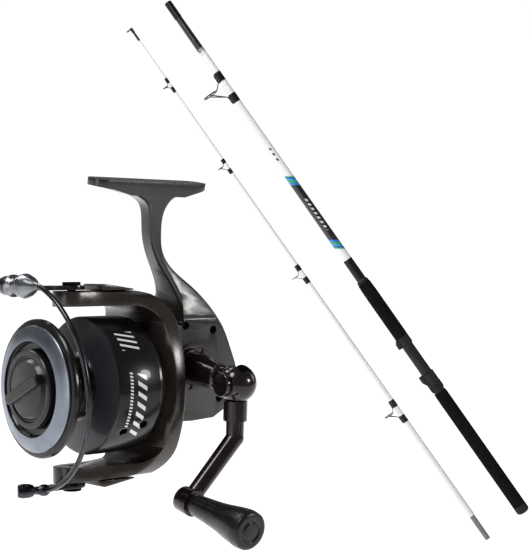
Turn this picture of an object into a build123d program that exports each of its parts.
from build123d import *
import math
import os

# A two-piece fishing rod and a front-drag spinning reel, laid out as a kit.
# The frame's origin is the centre of the reel foot's top face. +Z points up out of the foot,
# -Y points where the spool faces, and +X is the handle's side. All lengths are millimetres.

# ---------------------------------------------------------------- driving dimensions: the reel
# Reel parts are drawn from the spool's axis: x across, y back from the spool's front rim, z up.
FOOT_MIDDLE_Y = 55.0
FOOT_TOP_Z = 119.5
FOOT_START_Y = 22.5
FOOT_END_Y = 102.0
FOOT_HALF_WIDTH = 8.0
SPOOL_R = 39.0
SKIRT_R = 39.6
SKIRT_INNER_R = 36.8
SKIRT_FRONT_Y = 30.0
SKIRT_REAR_Y = 57.0
ARBOR_R = 18.5
DRAG_KNOB_R = 22.2
SHAFT_R = 4.0
SHAFT_THREAD_R = 3.0
RUNNING_GAP = 0.06

ROTOR_LEAN = -10.0          # how far the rotor stands turned about the spool's axis
ROTOR_R = 54.5
ROTOR_ARM_THICK = 9.0
ROTOR_ARM_WIDTH = 21.0
ROTOR_REAR_HALF_WIDTH = 37.0
ROTOR_REAR_Y = 77.0
ROTOR_CUP_R = 34.5
BAIL_PIVOT_Y = 23.0
ROLLER_Y = -9.0
ROLLER_Z = 57.5

BODY_FRONT_Y = 78.5
BODY_HALF_WIDTH = 17.0
HANDLE_Y = 95.5
HANDLE_Z = 11.0
AXLE_R = 5.0
DRIVE_GEAR_R = 15.2
RAIL_R = 1.5
RAIL_X = -2.0
RAIL_Z = -13.0
CROSSWIND_Y = 111.0
CROSSWIND_Z = -3.5
LEVER_Y = 112.0
DRIVE_GEAR_TEETH = 39
PINION_TEETH = 8
AXLE_PINION_TEETH = 14
CROSSWIND_TEETH = 28

FOLD_X = 57.5
KNUCKLE_X = 59.0
KNUCKLE_R = 11.2
KNOB_X = 66.0
KNOB_Y = 63.5
KNOB_Z = -52.6
KNOB_END_X = 120.0

# ---------------------------------------------------------------- driving dimensions: the rod
# Rod parts are drawn along x from the section's upper end, with the guides on the +y side.
BUTT_LENGTH = 1227.0
TIP_LENGTH = 1230.0
SPIGOT_LENGTH = 56.0
SPIGOT_R = 5.4
BUTT_TOP_R = 6.85
BUTT_LOW_R = 9.3
TIP_END_R = 1.75
TIP_BASE_R = 6.6
GRIP_START = 674.0
FORE_GRIP_END = 805.0
FIXED_HOOD_END = 824.0
SLIDING_HOOD_START = 892.0
NUT_START = 915.0
NUT_END = 933.0
REAR_GRIP_START = 936.5
SEAT_TUBE_R = 11.3
GRIP_R = 13.6
REAR_GRIP_R = 13.2

# The kit's display plane, where both rod sections stand behind the reel.
DISPLAY_TURN = 48.13
DISPLAY_LEAN = 7.97
ROD_SLOPE = -48.55
BUTT_TOP_POINT = (-1584.4, 1187.2, 195.1)
TIP_TOP_POINT = (-1623.0, 1132.0, 137.5)

os.makedirs("parts", exist_ok=True)


# ---------------------------------------------------------------- helpers
def save(shape, name):
    shape.label = name
    export_step(shape, f"parts/{name}.step")


def reel(shape):
    """Place a reel part from the spool's axis into the frame."""
    return Pos(0, -FOOT_MIDDLE_Y, -FOOT_TOP_Z) * shape


def leaned(shape):
    """Turn a rotor part about the spool's axis to where the rotor stands."""
    return reel(Rot(0, ROTOR_LEAN, 0) * shape)


def turned_y(points):
    """Revolve an outline of (radius, y) points about the spool's axis."""
    return revolve(make_face(Polyline(*points, close=True)), axis=Axis.Y)


def turned_x(points, y=0.0, z=0.0):
    """Revolve an outline of (x, radius) points about an axis along x through (y, z)."""
    return Pos(0, y, z) * revolve(make_face(Polyline(*points, close=True)), axis=Axis.X)


def tube_y(outer, inner, y0, y1):
    return turned_y([(inner, y0), (outer, y0), (outer, y1), (inner, y1)])


def tube_x(outer, inner, x0, x1, y=0.0, z=0.0):
    return turned_x([(x0, inner), (x1, inner), (x1, outer), (x0, outer)], y, z)


def bar_between(start, end, r0, r1):
    """A round bar, tapered from r0 to r1, between two points."""
    start = Vector(*start)
    along = Vector(*end) - start
    base = Plane(origin=start, z_dir=along)
    if r0 == r1:
        return Part() + Solid.make_cylinder(r0, along.length, base)
    return Part() + Solid.make_cone(r0, r1, along.length, base)


def side_plate(points, x0, x1):
    """A plate with an outline of (y, z) points, from x0 to x1."""
    outline = make_face(Polyline(*[(0, y, z) for y, z in points], close=True))
    return Pos(x0, 0, 0) * extrude(outline, amount=x1 - x0, dir=(1, 0, 0))


def box(x0, x1, y0, y1, z0, z1):
    return Pos((x0 + x1) / 2, (y0 + y1) / 2, (z0 + z1) / 2) * Box(x1 - x0, y1 - y0, z1 - z0)


def softened(shape, edges, radius):
    """Fillet edges one group at a time, and leave the shape alone where the radius doesn't fit."""
    try:
        rounded = fillet(edges, radius)
    except Exception:
        return shape
    return rounded if rounded.is_valid else shape


def gear_x(teeth, root, tip, x0, x1):
    """A spur gear on the axle's line, with trapezium teeth."""
    gear = tube_x(root, AXLE_R - 0.5, x0, x1)
    half_root = math.pi * root / teeth * 0.5
    half_tip = half_root * 0.55
    tooth = side_plate([(-half_root, root - 0.4), (half_root, root - 0.4), (half_tip, tip), (-half_tip, tip)],
                       x0, x1)
    return gear + [Rot(360 * i / teeth, 0, 0) * tooth for i in range(teeth)]


# ================================================================ the rod
def rod_placing(point):
    """The location of a rod section whose upper end is at a point of the display plane."""
    turn = math.radians(DISPLAY_TURN)
    lean = math.radians(DISPLAY_LEAN)
    across = Vector(math.cos(turn), math.sin(turn), 0)
    facing = Vector(math.sin(turn) * math.cos(lean), -math.cos(turn) * math.cos(lean), math.sin(lean))
    upward = facing.cross(across)
    slope = math.radians(ROD_SLOPE)
    along = across * math.cos(slope) + upward * math.sin(slope)
    return Plane(origin=point, x_dir=along, z_dir=facing * -1).location


BUTT_PLACE = rod_placing(BUTT_TOP_POINT)
TIP_PLACE = rod_placing(TIP_TOP_POINT)


def butt_radius(x):
    return BUTT_TOP_R + (BUTT_LOW_R - BUTT_TOP_R) * x / GRIP_START


def tip_radius(x):
    return TIP_END_R + (TIP_BASE_R - TIP_END_R) * x / (TIP_LENGTH - SPIGOT_LENGTH)


def winding(radius, x0, x1, build=0.45):
    """A thread winding under lacquer: a thin sleeve with rounded-off ends on a tapered blank."""
    r0 = radius(x0)
    r1 = radius(x1)
    lip = min(1.5, (x1 - x0) / 4)
    return turned_x([(x0, r0), (x1, r1), (x1 - lip, r1 + build), (x0 + lip, r0 + build)])


def make_rod_butt():
    bore_r = SPIGOT_R + RUNNING_GAP
    blank_end = GRIP_START + 520
    blank = turned_x([(0, bore_r), (SPIGOT_LENGTH + 4, bore_r), (SPIGOT_LENGTH + 4, BUTT_TOP_R - 1.6),
                      (blank_end, BUTT_LOW_R - 2), (blank_end, BUTT_LOW_R), (GRIP_START, BUTT_LOW_R),
                      (0, BUTT_TOP_R)])
    save(BUTT_PLACE * blank, "butt_blank")
    save(BUTT_PLACE * winding(butt_radius, 0.5, 39, 0.6), "ferrule_winding")
    bands = [winding(butt_radius, x0, x1) for x0, x1 in ((169, 190), (220, 240), (619, 668))]
    save(BUTT_PLACE * Compound(children=bands), "butt_windings")
    check = turned_x([(668.2, BUTT_LOW_R), (GRIP_START, BUTT_LOW_R), (GRIP_START, 12.2), (671, 11.8),
                      (668.2, 10.4)])
    save(BUTT_PLACE * check, "winding_check")

    fore = turned_x([(GRIP_START, BUTT_LOW_R), (FORE_GRIP_END, BUTT_LOW_R), (FORE_GRIP_END, 13.2),
                     (FORE_GRIP_END - 3, GRIP_R), (GRIP_START + 22, GRIP_R), (GRIP_START + 4, 12.9),
                     (GRIP_START, 12.0)])
    save(BUTT_PLACE * fore, "fore_grip")
    seat = turned_x([(FORE_GRIP_END, BUTT_LOW_R), (REAR_GRIP_START, BUTT_LOW_R),
                     (REAR_GRIP_START, SEAT_TUBE_R), (FORE_GRIP_END, SEAT_TUBE_R)])
    save(BUTT_PLACE * seat, "reel_seat_tube")
    save(BUTT_PLACE * seat_hood(FORE_GRIP_END, FIXED_HOOD_END, 1, SEAT_TUBE_R), "fixed_hood")
    rear = turned_x([(REAR_GRIP_START, BUTT_LOW_R), (blank_end, BUTT_LOW_R), (blank_end, 0.0),
                     (BUTT_LENGTH - 17, 0.0), (BUTT_LENGTH - 17, REAR_GRIP_R), (REAR_GRIP_START + 6, REAR_GRIP_R),
                     (REAR_GRIP_START, 12.4)])
    save(BUTT_PLACE * rear, "rear_grip")
    cap = Cylinder(13.4, 17, rotation=(0, 90, 0))
    cap = Pos(BUTT_LENGTH - 8.5, 0, 0) * cap
    cap = softened(cap, cap.edges().sort_by(Axis.X)[-1:], 6)
    save(BUTT_PLACE * cap, "butt_cap")

    frame, ring = line_guide(199, 31, 35.5, butt_radius, (171, 188), (222, 238), 1.5)
    save(BUTT_PLACE * frame, "stripping_guide_frame")
    save(BUTT_PLACE * ring, "stripping_guide_ring")


def seat_hood(x0, x1, mouth, bore_r):
    """A reel seat hood: a sleeve with a raised lip over the foot. mouth is +1 where it opens towards +x."""
    length = x1 - x0
    sleeve = tube_x(13.5, bore_r, x0, x1)
    lip_top = 19.0
    wide = 20.0
    lip = box(x0, x1, 6, lip_top, -wide / 2, wide / 2)
    lip = softened(lip, lip.edges().filter_by(Axis.X).sort_by(Axis.Y)[-2:], 5.5)
    ramp_start = x0 if mouth > 0 else x1
    slope = Polyline((ramp_start, lip_top + 1), (ramp_start, 13.0), (ramp_start + mouth * length * 0.55, lip_top + 1),
                     close=True)
    lip = lip - Pos(0, 0, -wide) * extrude(make_face(slope), amount=2 * wide)
    bore = Pos((x0 + x1) / 2, 0, 0) * Cylinder(12.9, length + 2, rotation=(0, 90, 0))
    hood = sleeve + (lip - bore)
    pocket_end = x1 + 1 if mouth > 0 else x0 - 1
    pocket_start = x1 - length * 0.72 if mouth > 0 else x0 + length * 0.72
    low, high = sorted((pocket_start, pocket_end))
    return hood - box(low, high, bore_r + 0.02, 16.6, -8.2, 8.2)


def line_guide(ring_x, ring_diameter, ring_centre, radius, foot_a, foot_b, wire_r):
    """A guide's wire frame with a foot at each end, and its ceramic ring. The ring faces along the rod."""
    ring_r = ring_diameter / 2
    seat_r = ring_r - wire_r * 0.75
    liner_r = seat_r - wire_r * 0.8
    half = wire_r * 0.8
    ring = turned_x([(-half, seat_r), (-half, liner_r + 0.3 * wire_r), (-0.4 * half, liner_r),
                     (0.4 * half, liner_r), (half, liner_r + 0.3 * wire_r), (half, seat_r)])
    ring = Pos(ring_x, ring_centre, 0) * ring
    rim = tube_x(ring_r, seat_r, ring_x - half, ring_x + half, ring_centre)
    parts = Part()
    low_y = ring_centre - ring_r + wire_r * 0.3
    for (foot_0, foot_1), side in ((foot_a, 1), (foot_b, -1)):
        near = foot_1 if side > 0 else foot_0
        far = foot_0 if side > 0 else foot_1
        seat = radius(near) + 0.45 + wire_r * 0.75
        rail = bar_between((far, radius(far) + 0.45 + wire_r * 0.7, 0), (near, seat, 0), wire_r * 0.6, wire_r * 0.74)
        parts = parts + rail + Pos(near, seat, 0) * Sphere(wire_r * 0.8)
        if side > 0:
            parts = parts + bar_between((near, seat, 0), (ring_x, low_y, 0), wire_r * 0.7, wire_r * 0.7)
            continue
        for leg in (-1, 1):
            top = (ring_x, ring_centre + ring_r * 0.15, leg * (ring_r - wire_r * 0.45))
            parts = parts + bar_between((near, seat, 0), top, wire_r * 0.7, wire_r * 0.7)
    opening = Pos(ring_x, ring_centre, 0) * Cylinder((seat_r + ring_r) / 2, 1.7 * wire_r, rotation=(0, 90, 0))
    return (parts - opening) + rim, ring


def make_sliding_hood():
    gap_bore = SEAT_TUBE_R + RUNNING_GAP
    save(BUTT_PLACE * seat_hood(SLIDING_HOOD_START, NUT_START - 0.2, -1, gap_bore), "sliding_hood")
    nut = turned_x([(NUT_START, gap_bore), (NUT_END, gap_bore), (NUT_END, 12.6), (NUT_END - 2, 13.2),
                    (NUT_START + 1, 14.0), (NUT_START, 13.6)])
    flute = Cylinder(1.1, 14, rotation=(0, 90, 0))
    flutes = [Rot(360 * i / 12, 0, 0) * Pos(NUT_START + 9, 14.2, 0) * flute for i in range(12)]
    save(BUTT_PLACE * (nut - flutes), "locking_nut")


def make_rod_tip():
    blank_end = TIP_LENGTH - SPIGOT_LENGTH
    blank = turned_x([(9, 0), (blank_end, 0), (blank_end, TIP_BASE_R), (9, TIP_END_R)])
    save(TIP_PLACE * blank, "tip_blank")
    spigot = turned_x([(blank_end, 0), (TIP_LENGTH, 0), (TIP_LENGTH, SPIGOT_R - 0.7), (TIP_LENGTH - 1, SPIGOT_R),
                       (blank_end, SPIGOT_R)])
    save(TIP_PLACE * spigot, "ferrule_spigot")
    guides = ((136, 12, 10.2, (121, 133), (142, 155), 0.75), (329, 14, 12.3, (316, 326), (339, 350), 0.85),
              (590, 16, 15.3, (571, 584), (600, 614), 0.95), (919, 20, 20.6, (896, 912), (932, 948), 1.1))
    rings = []
    bands = [winding(tip_radius, 12, 31)]
    for number, (ring_x, diameter, centre, foot_a, foot_b, wire_r) in enumerate(guides, 1):
        frame, ring = line_guide(ring_x, diameter, centre, tip_radius, foot_a, foot_b, wire_r)
        save(TIP_PLACE * frame, f"tip_guide_frame_{number}")
        rings.append(ring)
        bands += [winding(tip_radius, *foot_a), winding(tip_radius, *foot_b)]
    save(TIP_PLACE * Compound(children=rings), "tip_guide_rings")
    save(TIP_PLACE * Compound(children=bands), "tip_windings")

    socket_r = tip_radius(12)
    socket = turned_x([(1, 0), (9, 0), (9, socket_r), (12, socket_r), (12, 2.9), (1.8, 2.9), (1, 2.4)])
    ring_r = 4.6
    rim = tube_x(ring_r, 3.4, 2.2, 3.8, ring_r + 2.2)
    tube = socket + (rim - Pos(6, 0, 0) * Cylinder(2.4, 12, rotation=(0, 90, 0)))
    tube = tube - Pos(3, ring_r + 2.2, 0) * Cylinder(3.4, 5, rotation=(0, 90, 0))
    save(TIP_PLACE * tube, "tip_top_tube")
    liner = Pos(3, ring_r + 2.2, 0) * tube_x(3.39, 2.3, -1.0, 1.0)
    save(TIP_PLACE * liner, "tip_top_ring")


# ================================================================ the reel's body
def body_face():
    """The side view of the body and stem, as a face in the (y, z) plane."""
    low = [(86, 46), (86, 38), (82, 32), (BODY_FRONT_Y, 26), (BODY_FRONT_Y, -17), (84, -21.5), (100, -22),
           (116, -21), (126, -15), (131, -4), (131, 6), (128, 16), (121, 29)]
    rear = [(121, 29), (111.3, 42.5), (95, 58.5), (80.5, 69.5), (74, 79), (72.2, 90), (72.4, 101), (76, 108.5),
            (84, 112)]
    front = [(46, 112), (55, 109), (60.4, 105), (62.6, 98.5), (64.1, 88.7), (67.6, 78.5), (74, 68), (81, 57.5),
             (86, 46)]
    lines = [Polyline(*[(0, y, z) for y, z in low]), Spline(*[(0, y, z) for y, z in rear]),
             Line((0, 84, 112), (0, 46, 112)), Spline(*[(0, y, z) for y, z in front])]
    return make_face(lines)


def make_reel_body():
    whole = Pos(-BODY_HALF_WIDTH, 0, 0) * extrude(body_face(), amount=2 * BODY_HALF_WIDTH, dir=(1, 0, 0))
    # The stem narrows towards the foot: wedges come off both sides.
    flank = [(BODY_HALF_WIDTH, 34), (14.8, 46), (11.2, 57), (8.2, 68), (6.4, 79), (5.8, 91), (6.0, 101), (7.2, 112)]
    for side in (-1, 1):
        curve = Spline(*[(side * x, z) for x, z in flank])
        outside = Polyline((side * 7.2, 112), (side * 24, 112), (side * 24, 34), (side * BODY_HALF_WIDTH, 34))
        whole = whole - extrude(Plane.XZ * make_face([curve, outside]), amount=-160)
    rim = [e for e in whole.edges() if e.center().Z < 33 and abs(abs(e.center().X) - BODY_HALF_WIDTH) < 0.1
           and e.center().Y > BODY_FRONT_Y + 1]
    whole = softened(whole, rim, 4.5)
    stem = [e for e in whole.edges() if 60 < e.center().Z < 100 and e.length > 40
            and abs(e.center().X) > 4]
    whole = softened(whole, stem, 2.4)

    foot_outline = [(FOOT_START_Y, 119.5), (FOOT_END_Y, 119.5), (FOOT_END_Y, 116.6), (84, 111.2), (46, 111.2),
                    (34, 114.0), (FOOT_START_Y, 115.4)]
    foot = side_plate(foot_outline, -FOOT_HALF_WIDTH, FOOT_HALF_WIDTH)
    ends = [e for e in foot.edges().filter_by(Axis.Z)]
    foot = softened(foot, ends, FOOT_HALF_WIDTH - 0.8)
    whole = whole + foot

    neck_front = 69.0
    whole = whole + tube_y(23.0, 11.0, neck_front, BODY_FRONT_Y + 0.5)
    inside = [(BODY_FRONT_Y + 1.3, -16), (86, -18.5), (100, -19), (114, -18), (124, -12), (128, -3), (128, 5),
              (125, 14), (117, 25), (112, 33), (92, 33), (86, 28), (BODY_FRONT_Y + 1.3, 24)]
    room = side_plate(inside, -14, 14)
    whole = whole - room
    whole = whole - Pos(0, 74, 0) * Cylinder(11.0, 30, rotation=(90, 0, 0))
    rail = Pos(RAIL_X, 0, RAIL_Z) * tube_y(RAIL_R, 0, BODY_FRONT_Y + 0.4, 126.0)
    lever_hole = Pos(0, LEVER_Y, -20) * Cylinder(2.4 + RUNNING_GAP, 12)
    whole = whole - rail - lever_hole
    for side in (-1, 1):
        seat = Pos(side * 15.5, HANDLE_Y, HANDLE_Z) * Cylinder(9.5, 4, rotation=(0, 90, 0))
        whole = whole - seat

    # The handle side comes away as a cover below the stem's seam.
    seam_z = 40.5
    cover_zone = box(10.5, 30, BODY_FRONT_Y + 0.6, 140, -30, seam_z)
    cover = whole & cover_zone
    shell = whole - cover_zone
    save(reel(shell), "reel_housing")

    boss = tube_x(15.5, 9.6, BODY_HALF_WIDTH - 0.5, 18.6, HANDLE_Y, HANDLE_Z)
    cover = cover + boss
    screw_places = ((87.5, 36.5), (108.5, 33.5), (90.0, -15.0), (119.0, -9.0))
    for y, z in screw_places:
        hole = Pos(15, y, z) * Cylinder(2.6, 8, rotation=(0, 90, 0))
        cover = cover - hole
    save(reel(cover), "side_cover")
    screws = []
    for y, z in screw_places:
        screw = tube_x(2.55, 0, 12.6, 15.2, y, z) - box(14.4, 15.3, y - 2, y + 2, z - 0.4, z + 0.4)
        screws.append(screw - box(14.4, 15.3, y - 0.4, y + 0.4, z - 2, z + 2))
    save(reel(Compound(children=screws)), "cover_screws")

    cap = tube_x(13.2, 7.2, 18.6, 20.8, HANDLE_Y, HANDLE_Z)
    notches = [Pos(21, HANDLE_Y, HANDLE_Z) * Rot(60 * i + 15, 0, 0) * Pos(0, 11.2, 0) * Cylinder(1.3, 2.4,
               rotation=(0, 90, 0)) for i in range(6)]
    save(reel(cap - notches), "bearing_cap")
    far_cap = turned_x([(-20.5, 0), (-18.5, 0), (-17.0, 0), (-17.0, 9.4), (-18.5, 9.4), (-18.8, 11), (-20.5, 10)],
                       HANDLE_Y, HANDLE_Z)
    save(reel(far_cap), "axle_end_cap")
    bearings = [tube_x(9.45, AXLE_R + RUNNING_GAP, x0, x0 + 3, HANDLE_Y, HANDLE_Z) for x0 in (-16.9, 13.9)]
    bearings.append(tube_y(10.95, 6.0 + RUNNING_GAP, 75.8, 79.4))
    save(reel(Compound(children=bearings)), "ball_bearings")
    save(reel(tube_y(10.95, 6.0 + RUNNING_GAP, 69.4, 75.6)), "one_way_clutch")
    crosswind_axle = tube_x(2.0, 0, 5.2, 14.0, CROSSWIND_Y, CROSSWIND_Z)
    save(reel(Compound(children=[rail, crosswind_axle])), "gearbox_pins")


def make_anti_reverse_lever():
    """The small lever under the body that frees the clutch. Its post turns in the body's floor."""
    post = Pos(0, LEVER_Y, -20.5) * Cylinder(2.4, 6)
    head = Pos(0, LEVER_Y, -24.7) * Cylinder(4.2, 2.4)
    tab = box(-2.6, 2.6, LEVER_Y - 1, LEVER_Y + 15, -25.9, -23.5)
    tab = softened(tab, tab.edges().filter_by(Axis.Z), 2.2)
    lever = post + head + tab
    save(reel(lever), "anti_reverse_lever")


# ================================================================ the drive
def make_drive():
    disc = tube_x(DRIVE_GEAR_R, AXLE_R - 0.5, -13.0, -9.4)
    half = math.pi * 12 / DRIVE_GEAR_TEETH * 0.5
    tooth = box(-9.5, -7.6, 10.4, DRIVE_GEAR_R - 0.2, -half, half)
    disc = disc + [Rot(360 * i / DRIVE_GEAR_TEETH, 0, 0) * tooth for i in range(DRIVE_GEAR_TEETH)]
    axle = tube_x(AXLE_R, 0, -16.4, 23.0)
    small_gear = gear_x(AXLE_PINION_TEETH, 5.9, 7.0, 5.4, 8.8)
    save(reel(Pos(0, HANDLE_Y, HANDLE_Z) * (disc + axle + small_gear)), "drive_gear")

    sleeve = tube_y(6.0, SHAFT_R + RUNNING_GAP, 56.0, 81.0)
    teeth_root = tube_y(5.6, SHAFT_R + RUNNING_GAP, 81.0, 89.5)
    tooth = Pos(0, 85.25, 6.2) * Box(1.5, 8.5, 1.9)
    pinion = sleeve + teeth_root + [Rot(0, 360 * i / PINION_TEETH, 0) * tooth for i in range(PINION_TEETH)]
    save(reel(pinion), "pinion")

    wheel = tube_x(13.2, 2.0 + RUNNING_GAP, 5.4, 8.8)
    half = math.pi * 13.2 / CROSSWIND_TEETH * 0.45
    tooth = side_plate([(-half, 12.9), (half, 12.9), (half * 0.5, 13.6), (-half * 0.5, 13.6)], 5.4, 8.8)
    wheel = wheel + [Rot(360 * i / CROSSWIND_TEETH, 0, 0) * tooth for i in range(CROSSWIND_TEETH)]
    wheel = wheel + tube_x(1.4, 0, 4.6, 5.6, 7.0)
    save(reel(Pos(0, CROSSWIND_Y, CROSSWIND_Z) * wheel), "crosswind_gear")


def make_main_shaft():
    shaft = turned_y([(0, -4.6), (SHAFT_THREAD_R, -4.6), (SHAFT_THREAD_R, 4.2), (SHAFT_R, 4.2), (SHAFT_R, 118.0),
                      (0, 118.0)])
    save(reel(shaft), "main_shaft")
    block = box(-6.5, 4.4, 104, 112, RAIL_Z - 2.7, 5.4)
    block = block - Pos(0, 108, 0) * Cylinder(SHAFT_R, 12, rotation=(90, 0, 0))
    block = block - Pos(RAIL_X, 108, RAIL_Z) * Cylinder(RAIL_R + RUNNING_GAP, 12, rotation=(90, 0, 0))
    save(reel(block), "crosswind_slider")


# ================================================================ the spool and drag
def make_spool():
    spool = turned_y([(SHAFT_R + RUNNING_GAP, 9), (17, 9), (17, -1.4), (25.6, -1.4), (26.8, -3.4), (35.6, -0.8),
                      (38.2, -0.5), (SPOOL_R, 0.5), (SPOOL_R, 2.0), (37.6, 3.6), (ARBOR_R + 1.2, 5.2),
                      (ARBOR_R, 6.4), (ARBOR_R, 25.4), (ARBOR_R + 1.4, 26.6), (37.4, 28.2), (38.9, 28.8),
                      (SKIRT_R, SKIRT_FRONT_Y), (SKIRT_R, SKIRT_REAR_Y - 3.2), (38.9, SKIRT_REAR_Y - 2.8),
                      (38.9, SKIRT_REAR_Y), (SKIRT_INNER_R, SKIRT_REAR_Y), (SKIRT_INNER_R, SKIRT_FRONT_Y + 2),
                      (12, SKIRT_FRONT_Y), (12, 36), (SHAFT_R + RUNNING_GAP, 36)])
    # Thin line-grip grooves run round the arbor.
    grooves = [tube_y(ARBOR_R + 1, ARBOR_R - 0.35, y, y + 0.7) for y in (9.5, 12.5, 15.5, 18.5, 21.5)]
    spool = spool - grooves
    drain = Cylinder(2.6, 8)
    holes = [Rot(0, angle, 0) * Pos(0, y, SKIRT_R - 2) * drain
             for angle, y in ((118, 36.5), (112, 48.5), (298, 36.5), (292, 48.5))]
    save(reel(spool - holes), "spool")
    lip = turned_y([(26.8, -3.4), (27.0, -5.0), (34.6, -2.7), (35.6, -1.9), (35.6, -0.8)])
    save(reel(lip), "spool_lip")
    washers = [tube_y(16, SHAFT_R + 0.4, y, y + 1.2) for y in (7.7, 6.3, 4.9)]
    save(reel(Compound(children=washers)), "drag_washers")


def make_drag_knob():
    knob = turned_y([(0, -8.0), (15.5, -7.4), (17.4, -5.2), (18.2, -5.2), (18.8, -6.3), (DRAG_KNOB_R - 0.6, -6.2),
                     (DRAG_KNOB_R, -5.4), (DRAG_KNOB_R, -2.4), (16.0, -2.2), (16.0, 3.6),
                     (SHAFT_THREAD_R + RUNNING_GAP, 3.6), (SHAFT_THREAD_R + RUNNING_GAP, -5.0), (0, -5.0)])
    wing = Pos(0, -8.6, 0) * Box(35, 5.4, 6.4)
    wing = softened(wing, wing.edges().filter_by(Axis.Y), 2.6)
    wing = softened(wing, wing.faces().sort_by(Axis.Y)[0].edges(), 1.2)
    save(reel(Rot(0, -34, 0) * (knob + wing)), "drag_knob")


# ================================================================ the rotor and bail
def make_rotor():
    front = 12.0
    half = ROTOR_ARM_WIDTH / 2
    wide = 45.0
    outside = side_plate([(front, -ROTOR_R), (front, ROTOR_R), (ROTOR_REAR_Y, ROTOR_R), (ROTOR_REAR_Y, -ROTOR_R)],
                         -wide, wide)
    outside = softened(outside, outside.edges().filter_by(Axis.X).sort_by(Axis.Y)[-2:], 19)
    inner_z = ROTOR_R - ROTOR_ARM_THICK
    web_front = ROTOR_REAR_Y - 10.5
    hollow = side_plate([(front - 1, -inner_z), (front - 1, inner_z), (web_front, inner_z), (web_front, -inner_z)],
                        -wide - 1, wide + 1)
    hollow = softened(hollow, hollow.edges().filter_by(Axis.X).sort_by(Axis.Y)[-2:], 12)
    bow = outside - hollow
    # Seen from above, each arm is parallel at the front and flares towards the web.
    round_end = front + half
    flare = [(half, 30), (half + 2, 44), (half + 8, 57), (half + 18, 66), (wide - 2, 72)]
    sides = [ThreePointArc((-half, round_end), (0, front), (half, round_end)), Line((half, round_end), (half, 30)),
             Spline(*flare, tangents=((0, 1), (1, 0.35))),
             Polyline((wide - 2, 72), (wide - 2, 80), (2 - wide, 80), (2 - wide, 72)),
             Spline(*[(-x, y) for x, y in reversed(flare)], tangents=((1, -0.35), (0, -1))),
             Line((-half, 30), (-half, round_end))]
    bow = bow & extrude(make_face(sides), amount=70, both=True)
    oval = extrude(Plane.XZ * Ellipse(ROTOR_REAR_HALF_WIDTH, 58), amount=100, both=True)
    barrel = Pos(0, (front + ROTOR_REAR_Y) / 2, 0) * Cylinder(ROTOR_R, ROTOR_REAR_Y - front, rotation=(90, 0, 0))
    bow = bow & oval & barrel
    bow = bow - Pos(0, ROTOR_REAR_Y, 0) * Cylinder(24.5, 40, rotation=(90, 0, 0))
    bow = softened(bow, [e for e in bow.edges() if e.center().Y > ROTOR_REAR_Y - 0.5 and e.length > 60], 1.5)
    # The bail's pivot screws pass through the arms.
    pivot = Pos(0, BAIL_PIVOT_Y, 0) * Cylinder(2.5 + RUNNING_GAP, 2 * ROTOR_R + 4)
    bow = bow - pivot
    save(leaned(bow), "rotor_bow")

    cup = turned_y([(6.0, 58.0), (13, 58.0), (ROTOR_CUP_R - 3, 60.5), (ROTOR_CUP_R - 3, 40), (ROTOR_CUP_R, 40),
                    (ROTOR_CUP_R, 61.5), (31.0, 66.4), (24.4, 66.4), (24.4, 67.2), (6.0, 67.2)])
    save(leaned(cup), "rotor_cup")
    save(leaned(Pos(0, 54.9, 0) * hexagon_nut(9.5, 6.0, 6.2)), "rotor_nut")

    covers = []
    for side in (1, -1):
        outline = [(37.5, side * ROTOR_R), (37.5, side * 58.0), (40, side * 58.2), (60, side * 55.2),
                   (60, side * ROTOR_R)]
        cover = side_plate(outline, -9.5, 9.5)
        edges = [e for e in cover.edges() if abs(e.center().Z) > ROTOR_R + 0.5]
        covers.append(softened(cover, edges, 0.8))
    save(leaned(Compound(children=covers)), "arm_covers")


def hexagon_nut(across_corners, bore, height):
    nut = extrude(Plane.XZ * RegularPolygon(across_corners, 6), amount=-height / 2, both=True)
    return nut - Cylinder(bore, height * 3, rotation=(90, 0, 0))


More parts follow.
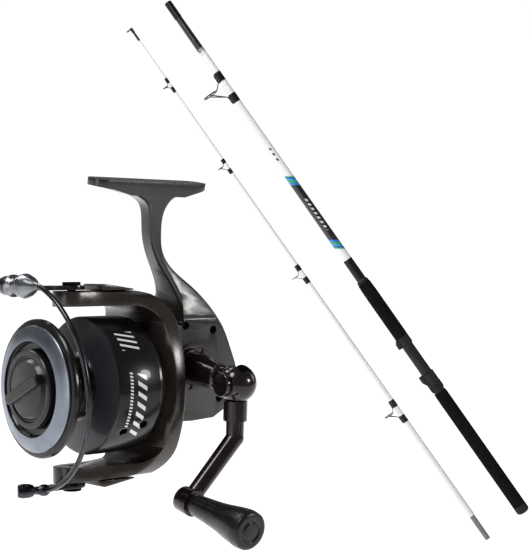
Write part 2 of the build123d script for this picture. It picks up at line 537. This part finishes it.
def make_bail():
    gap = 0.35
    low_z = ROTOR_R + gap
    arm = Pos(0, BAIL_PIVOT_Y, low_z + 1.3) * Cylinder(7.5, 2.6)
    strap = make_face(Polyline((-6.0, 27), (6.0, 27), (4.6, 6), (3.6, ROLLER_Y + 8), (-8.4, ROLLER_Y + 8),
                               (-7.6, 8), close=True))
    arm = arm + Pos(0, 0, low_z) * extrude(strap, amount=2.6)
    eye = tube_x(5.6, 2.0, -16.5, -10.6, ROLLER_Y, ROLLER_Z)
    link = box(-15.5, -10.6, ROLLER_Y + 2.5, ROLLER_Y + 12, low_z, low_z + 2.6)
    arm = arm + (link - Pos(-13, ROLLER_Y, ROLLER_Z) * Cylinder(2.0, 20, rotation=(0, 90, 0))) + eye
    arm = arm + box(-15.5, -4, ROLLER_Y + 7, ROLLER_Y + 12, low_z, low_z + 2.6)
    arm = arm - Pos(0, BAIL_PIVOT_Y, 0) * Cylinder(2.5, 200)
    save(leaned(arm), "bail_arm")

    lever = Pos(0, BAIL_PIVOT_Y, -low_z - 1.3) * Cylinder(7.5, 2.6)
    strap = make_face(Polyline((-5.5, 25), (5.5, 25), (6.4, 2), (2.0, 0.5), (-3.2, 6), close=True))
    lever = lever + Pos(0, 0, -low_z - 2.6) * extrude(strap, amount=2.6)
    lever = lever - Pos(0, BAIL_PIVOT_Y, 0) * Cylinder(2.5, 200)
    save(leaned(lever), "bail_lever")
    screws = [tube_z(2.5, 0, side * (ROTOR_R - 7), side * (low_z + 2.6), BAIL_PIVOT_Y)
              + tube_z(5.0, 0, side * (low_z + 2.6), side * 59.4, BAIL_PIVOT_Y) for side in (-1, 1)]
    save(leaned(Compound(children=screws)), "bail_pivot_screws")

    start = (17.0, ROLLER_Y, ROLLER_Z)
    end = (6.5, 1.0, -low_z - 1.3)
    middle = (55.5, -3.0, -2.0)
    path = ThreePointArc(start, middle, end)
    section = Plane(origin=start, z_dir=path % 0) * Circle(1.45)
    wire = sweep(section, path=path)
    level = -low_z - 1.3
    knob = turned_x([(-3.2, 0), (-2.6, 1.9), (-1.2, 3.1), (0.6, 3.4), (2.2, 3.1), (3.6, 2.4), (5.9, 2.2), (6.6, 3.2),
                     (8.6, 3.9), (12.0, 4.1), (14.6, 3.7), (15.2, 2.9), (15.2, 0)])
    foot = Plane(origin=(5.5, 1.4, level), x_dir=(-0.42, -0.907, 0), z_dir=(0, 0, 1)).location * knob
    save(leaned(wire - foot), "bail_wire")
    clear = box(-12, 20, -8, 60, -low_z - 2.6, -low_z) & extrude(Pos(0, 0, -low_z - 2.6) * make_face(
        Polyline((-5.5, 25), (5.5, 25), (6.4, 2), (2.0, 0.5), (-3.2, 6), close=True)), amount=2.6)
    save(leaned(foot - clear), "wire_end_knob")

    pin = tube_x(1.95, 0, -18.2, 10.6, ROLLER_Y, ROLLER_Z)
    head = turned_x([(-18.2, 0), (-22.0, 0), (-21.4, 3.4), (-19.4, 5.0), (-16.55, 5.6), (-16.55, 2.0), (-18.2, 2.0)],
                    ROLLER_Y, ROLLER_Z)
    save(leaned(pin + head), "roller_pin")
    cone = turned_x([(1.6, 1.95), (1.6, 6.6), (3.4, 7.0), (8.0, 5.6), (14.0, 2.6), (17.0, 1.6), (17.0, 0),
                     (10.6, 0), (10.6, 1.95)], ROLLER_Y, ROLLER_Z)
    save(leaned(cone - wire), "wire_cone")


def tube_z(outer, inner, z0, z1, y):
    low, high = sorted((z0, z1))
    ring = Cylinder(outer, high - low)
    if inner:
        ring = ring - Cylinder(inner, high - low)
    return Pos(0, y, (low + high) / 2) * ring


def make_line_roller():
    roller = turned_x([(-10.3, 2.0), (1.3, 2.0), (1.3, 6.4), (-0.2, 6.4), (-2.2, 4.6), (-6.6, 4.6), (-8.8, 6.4),
                       (-10.3, 6.4)], ROLLER_Y, ROLLER_Z)
    save(leaned(roller), "line_roller")


# ================================================================ the handle
def make_handle():
    shaft = turned_x([(20.9, AXLE_R), (23.0, AXLE_R), (23.0, 0), (45.0, 0), (45.0, 6.6), (43.6, 8.0), (34.0, 8.4),
                      (26.0, 9.6), (20.9, 10.4)], HANDLE_Y, HANDLE_Z)
    tongue = box(44.5, FOLD_X, HANDLE_Y - 3.5, HANDLE_Y + 3.5, HANDLE_Z - 4.5, HANDLE_Z + 4.5)
    eye = Pos(FOLD_X, HANDLE_Y, HANDLE_Z) * Cylinder(6.5, 7, rotation=(90, 0, 0))
    pin_hole = Pos(FOLD_X, HANDLE_Y, HANDLE_Z) * Cylinder(2.5 + RUNNING_GAP, 30, rotation=(90, 0, 0))
    save(reel(shaft + tongue + eye - pin_hole), "handle_shaft")

    collar_top = HANDLE_Z - 9.5
    kink = (62.0, HANDLE_Y, -20.0)
    end = (KNOB_X, KNOB_Y, KNOB_Z)
    knuckle = Pos(KNUCKLE_X, HANDLE_Y, HANDLE_Z + 0.5) * Sphere(KNUCKLE_R)
    upper = bar_between((58.6, HANDLE_Y, HANDLE_Z - 4), kink, 5.6, 5.2)
    lower = bar_between(kink, end, 5.2, 4.9)
    arm = knuckle + upper + lower + Pos(*kink) * Sphere(5.35)
    arm = arm + tube_x(7.4, 0, KNOB_X - 5, KNOB_X + 4.8, KNOB_Y, KNOB_Z)
    slot = box(FOLD_X - 20, 66.0, HANDLE_Y - 3.8, HANDLE_Y + 3.8, HANDLE_Z - 7.2, HANDLE_Z + 20)
    arm = arm - slot
    arm = arm - Pos(FOLD_X, HANDLE_Y, HANDLE_Z) * Cylinder(2.5, 40, rotation=(90, 0, 0))
    arm = arm - Pos(FOLD_X, HANDLE_Y - KNUCKLE_R - 0.6, HANDLE_Z) * Cylinder(12.0, 6, rotation=(90, 0, 0))
    arm = arm - Pos(KNOB_X, KNOB_Y, KNOB_Z) * Cylinder(3.0, 30, rotation=(0, 90, 0))
    save(reel(arm), "crank_arm")
    pin = Pos(FOLD_X, HANDLE_Y - 1.2, HANDLE_Z) * Cylinder(2.5, 16.4, rotation=(90, 0, 0))
    head = Pos(FOLD_X, HANDLE_Y - 10.2, HANDLE_Z) * Cylinder(7.0, 2.8, rotation=(90, 0, 0))
    head = softened(head, head.edges().sort_by(Axis.Y)[:1], 0.9)
    slot_cut = box(FOLD_X - 5, FOLD_X + 5, HANDLE_Y - 13, HANDLE_Y - 11, HANDLE_Z - 0.6, HANDLE_Z + 0.6)
    save(reel(pin + (head - slot_cut)), "fold_screw")

    sleeve_axis = Plane(origin=(59.29, HANDLE_Y, collar_top), z_dir=Vector(kink[0] - 58.6, 0, kink[2] - 7.0))
    sleeve = Solid.make_cylinder(6.9, 11.5, sleeve_axis)
    sleeve = Part() + sleeve - knuckle - upper
    save(reel(sleeve.solids().sort_by(SortBy.VOLUME)[-1]), "arm_collar")

    spindle = tube_x(3.0, 0, KNOB_X - 5, 113.0, KNOB_Y, KNOB_Z)
    save(reel(spindle), "knob_spindle")
    bore = 3.0 + RUNNING_GAP
    swell = Spline((115.4, 10.9), (108.0, 10.1), (98.0, 8.4), (88.0, 7.2), (79.0, 6.5), (71.2, 5.8))
    section = make_face([swell, Polyline((71.2, 5.8), (71.2, bore), (113.4, bore), (113.4, 0), (115.4, 0),
                                         (115.4, 10.9))])
    grip = Pos(0, KNOB_Y, KNOB_Z) * revolve(section, axis=Axis.X)
    save(reel(grip), "handle_knob")
    end_cap = turned_x([(115.4, 0), (KNOB_END_X, 0), (KNOB_END_X, 4.6), (119.2, 5.0), (119.2, 6.0),
                        (KNOB_END_X - 0.1, 6.4), (KNOB_END_X - 0.1, 9.2), (119.0, 10.5), (115.4, 10.9)], KNOB_Y, KNOB_Z)
    save(reel(end_cap), "knob_end_cap")


make_rod_butt()
make_sliding_hood()
make_rod_tip()
make_reel_body()
make_anti_reverse_lever()
make_drive()
make_main_shaft()
make_spool()
make_drag_knob()
make_rotor()
make_bail()
make_line_roller()
make_handle()
